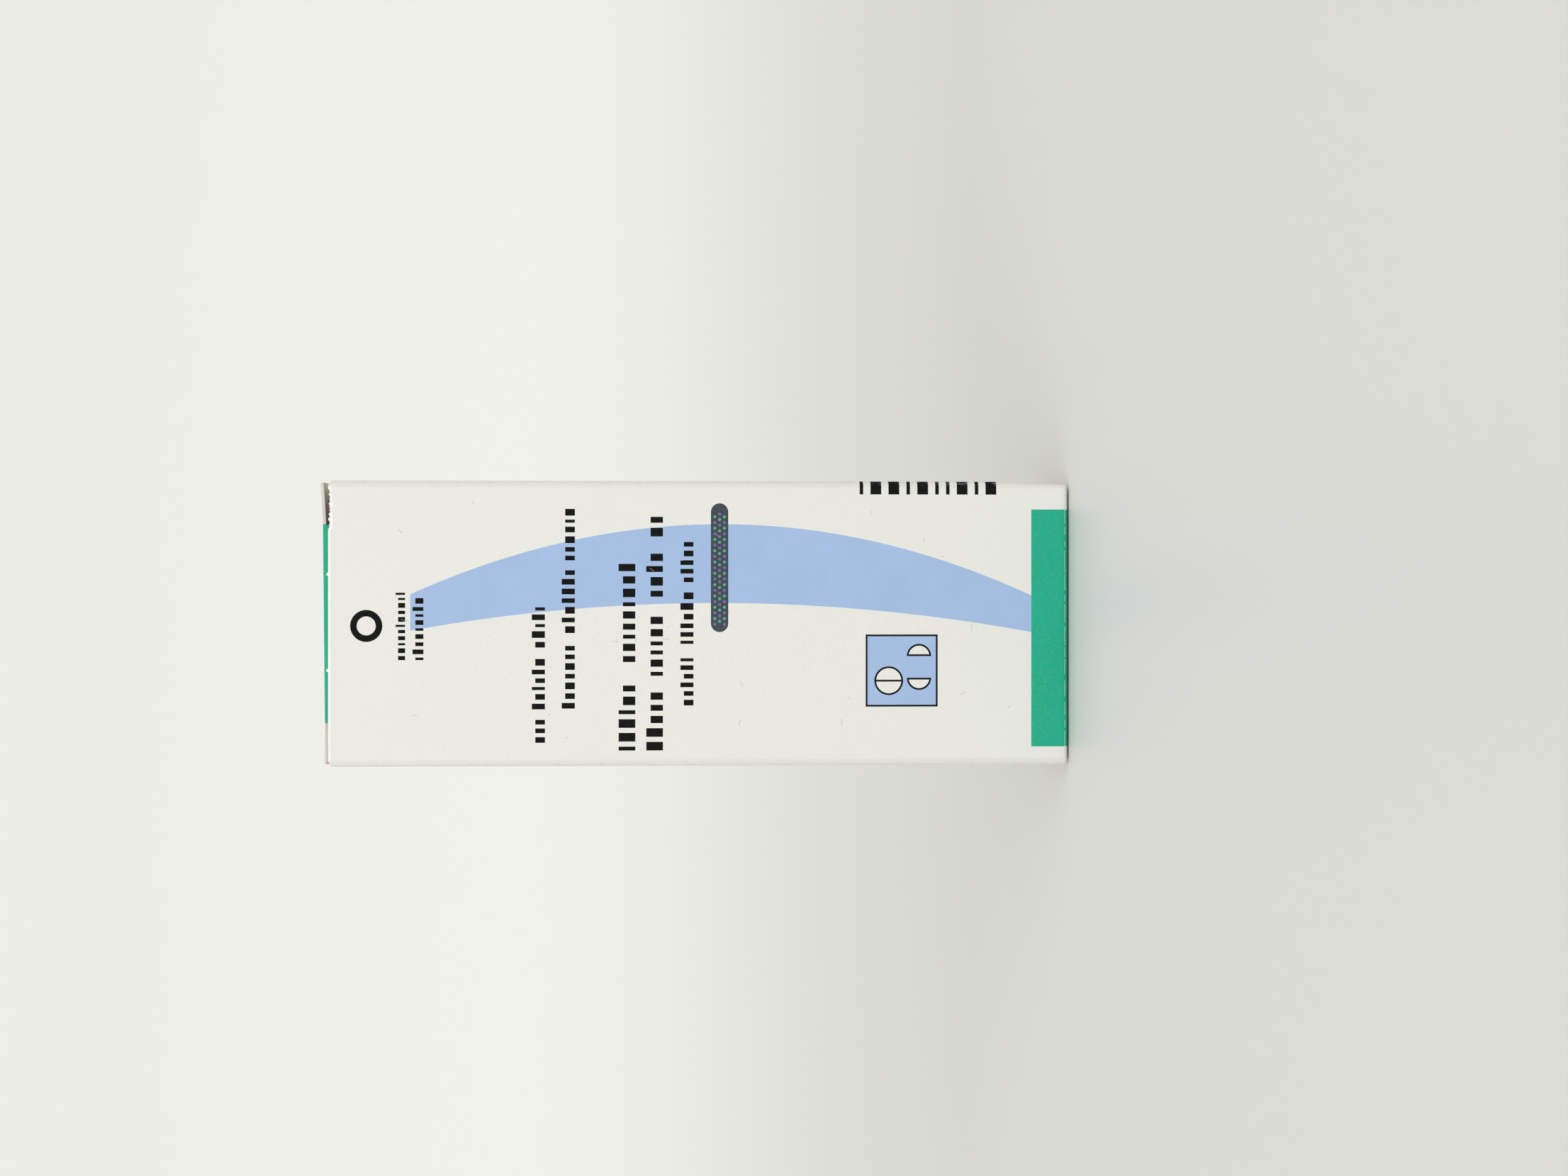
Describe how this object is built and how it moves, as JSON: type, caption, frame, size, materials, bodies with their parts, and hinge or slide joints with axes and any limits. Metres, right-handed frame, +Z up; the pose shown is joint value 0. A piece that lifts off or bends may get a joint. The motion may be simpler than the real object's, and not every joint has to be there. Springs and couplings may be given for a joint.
{
  "type": "box of tablets",
  "caption": "Upright tuck-end carton of thin white card with a printed front, hinged tuck lids at both ends, and blister strips of tablets with a folded leaflet inside.",
  "frame": {"origin": "middle of the base, on the surface that the box stands on", "axes": "+Z up the box, -Y out of the printed front, +X to the right seen from the front"},
  "size_m": [0.0394, 0.025, 0.1035],
  "materials": {
    "card": "satin",
    "leaflet_paper": "matte",
    "blister_film": "clear",
    "lidding_foil": "satin",
    "tablet": "powdery"
  },
  "bodies": {
    "box": {"carton": "card", "leaflet": "leaflet_paper", "blister_film_1": "blister_film", "blister_film_2": "blister_film", "blister_film_3": "blister_film", "blister_film_4": "blister_film", "lidding_foil_1": "lidding_foil", "lidding_foil_2": "lidding_foil", "lidding_foil_3": "lidding_foil", "lidding_foil_4": "lidding_foil", "tablet_1_1": "tablet", "tablet_1_2": "tablet", "tablet_1_3": "tablet", "tablet_1_4": "tablet", "tablet_1_5": "tablet", "tablet_2_1": "tablet", "tablet_2_2": "tablet", "tablet_2_3": "tablet", "tablet_2_4": "tablet", "tablet_2_5": "tablet", "tablet_3_1": "tablet", "tablet_3_2": "tablet", "tablet_3_3": "tablet", "tablet_3_4": "tablet", "tablet_3_5": "tablet", "tablet_4_1": "tablet", "tablet_4_2": "tablet", "tablet_4_3": "tablet", "tablet_4_4": "tablet", "tablet_4_5": "tablet"},
    "top_lid": {"top_lid": "card"},
    "bottom_lid": {"bottom_lid": "card"}
  },
  "joints": [
    {"name": "top_lid_hinge", "type": "hinge", "parent": "box", "child": "top_lid", "pos_m": [0, 0.0123, 0.1026], "axis": [-1, 0, 0], "range_deg": [0, 150]},
    {"name": "bottom_lid_hinge", "type": "hinge", "parent": "box", "child": "bottom_lid", "pos_m": [0, -0.0123, 0.0002], "axis": [-1, 0, 0], "range_deg": [0, 150]}
  ]
}
